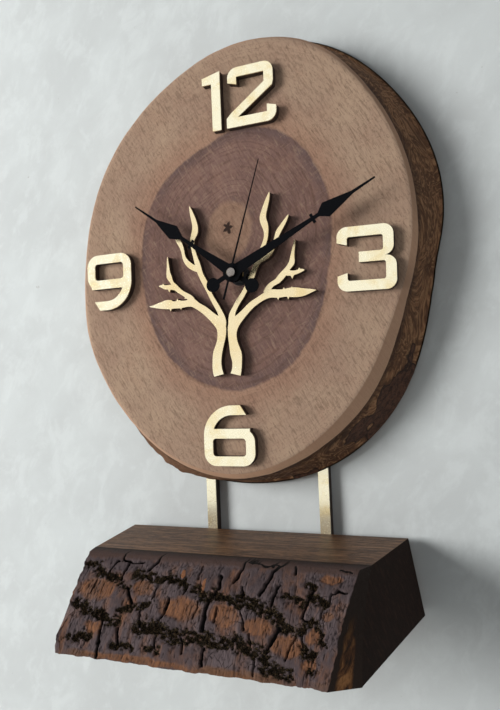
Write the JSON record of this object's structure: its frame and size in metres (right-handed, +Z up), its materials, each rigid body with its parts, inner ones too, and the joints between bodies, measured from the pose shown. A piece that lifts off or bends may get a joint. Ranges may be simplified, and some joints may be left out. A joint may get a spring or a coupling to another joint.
{
  "type": "wall clock with shelf",
  "caption": "Trunk-slice wall clock on two brass bars with a bark-fronted shelf below; brass figures and tree, spade hands that turn, quartz movement in a rear pocket",
  "frame": {"origin": "on the back face of the hanger plate, at the centre of its screw hole", "axes": "+Z up the wall, +Y into the wall, so the dial faces -Y, and +X to the viewer's right"},
  "size_m": [0.269, 0.124, 0.3908],
  "materials": {
    "dial_wood": "satin clear finish over sawn end grain",
    "shelf_wood": "planed with a satin clear finish",
    "bark": "natural fissured bark, sealed matt",
    "polished_brass": "polished with fine handling scratches",
    "dark_wood": "dark stain, matt",
    "bar_core": "dark brown satin paint",
    "steel": "zinc plated",
    "hand_black": "black gloss paint",
    "cap_chrome": "bright dome",
    "case_plastic": "fine moulded texture",
    "gear_plastic": "moulded, satin",
    "magnet": "sintered magnet",
    "fitting_brass": "turned",
    "black_fitting": "blackened, satin",
    "gasket_rubber": "matt",
    "stator_steel": "stamped sheet",
    "copper_wire": "enamelled winding",
    "battery_skin": "plain printed sleeve, no words",
    "board_green": "solder mask",
    "crystal_can": "drawn can"
  },
  "bodies": {
    "clock_frame": {"dial_slice": "dial_wood", "shelf_block": "shelf_wood", "shelf_bark": "bark", "left_bar_face": "polished_brass", "right_bar_face": "polished_brass", "numeral_12_face": "polished_brass", "numeral_3_face": "polished_brass", "numeral_6_face": "polished_brass", "numeral_9_face": "polished_brass", "tree_left_face": "polished_brass", "tree_right_face": "polished_brass", "numeral_12_backing": "dark_wood", "numeral_3_backing": "dark_wood", "numeral_6_backing": "dark_wood", "numeral_9_backing": "dark_wood", "tree_left_backing": "dark_wood", "tree_right_backing": "dark_wood", "left_bar": "bar_core", "right_bar": "bar_core", "bar_screws": "steel", "hanger_plate": "steel", "hanger_screws": "steel", "battery_contacts": "steel", "movement_case": "case_plastic", "movement_front_plate": "case_plastic", "train_bridge": "gear_plastic", "threaded_bushing": "fitting_brass", "dial_washer": "black_fitting", "hex_nut": "black_fitting", "rubber_gasket": "gasket_rubber", "stator": "stator_steel", "coil_core": "stator_steel", "coil": "copper_wire", "battery": "battery_skin", "circuit_board": "board_green", "quartz_crystal": "crystal_can"},
    "second_group": {"seconds_wheel": "gear_plastic", "second_hand": "hand_black", "centre_cap": "cap_chrome"},
    "third_group": {"third_wheel": "gear_plastic"},
    "centre_group": {"centre_wheel": "gear_plastic"},
    "intermediate_group": {"intermediate_wheel": "gear_plastic"},
    "rotor_group": {"rotor": "magnet"},
    "minute_group": {"minute_arbor": "gear_plastic", "minute_hand": "hand_black"},
    "hour_group": {"hour_wheel": "gear_plastic", "hour_hand": "hand_black"},
    "motion_group": {"motion_wheel": "gear_plastic", "setting_knob": "case_plastic"}
  },
  "joints": [
    {"name": "second_hand_turn", "type": "hinge", "parent": "clock_frame", "child": "second_group", "pos_m": [-0.0017, -0.04, -0.104], "axis": [0, 1, 0], "continuous": true},
    {"name": "third_wheel_turn", "type": "hinge", "parent": "clock_frame", "child": "third_group", "pos_m": [0.00694, -0.013, -0.10085], "axis": [0, 1, 0], "continuous": true},
    {"name": "centre_wheel_turn", "type": "hinge", "parent": "clock_frame", "child": "centre_group", "pos_m": [-0.0017, -0.0146, -0.104], "axis": [0, 1, 0], "continuous": true},
    {"name": "intermediate_wheel_turn", "type": "hinge", "parent": "clock_frame", "child": "intermediate_group", "pos_m": [-0.00554, -0.01, -0.09851], "axis": [0, 1, 0], "continuous": true},
    {"name": "rotor_turn", "type": "hinge", "parent": "clock_frame", "child": "rotor_group", "pos_m": [-0.00204, -0.008, -0.09244], "axis": [0, 1, 0], "continuous": true},
    {"name": "minute_hand_turn", "type": "hinge", "parent": "clock_frame", "child": "minute_group", "pos_m": [-0.0017, -0.04, -0.104], "axis": [0, 1, 0], "continuous": true},
    {"name": "hour_hand_turn", "type": "hinge", "parent": "clock_frame", "child": "hour_group", "pos_m": [-0.0017, -0.038, -0.104], "axis": [0, 1, 0], "continuous": true},
    {"name": "setting_knob_turn", "type": "hinge", "parent": "clock_frame", "child": "motion_group", "pos_m": [-0.0113, -0.002, -0.104], "axis": [0, 1, 0], "continuous": true}
  ],
  "couplings": [
    {"joint": "third_wheel_turn", "follows": "second_hand_turn", "ratio": -0.13333},
    {"joint": "centre_wheel_turn", "follows": "second_hand_turn", "ratio": 0.016667},
    {"joint": "intermediate_wheel_turn", "follows": "second_hand_turn", "ratio": -5},
    {"joint": "rotor_turn", "follows": "second_hand_turn", "ratio": 30},
    {"joint": "hour_hand_turn", "follows": "minute_hand_turn", "ratio": 0.083333},
    {"joint": "setting_knob_turn", "follows": "minute_hand_turn", "ratio": -0.33333}
  ]
}
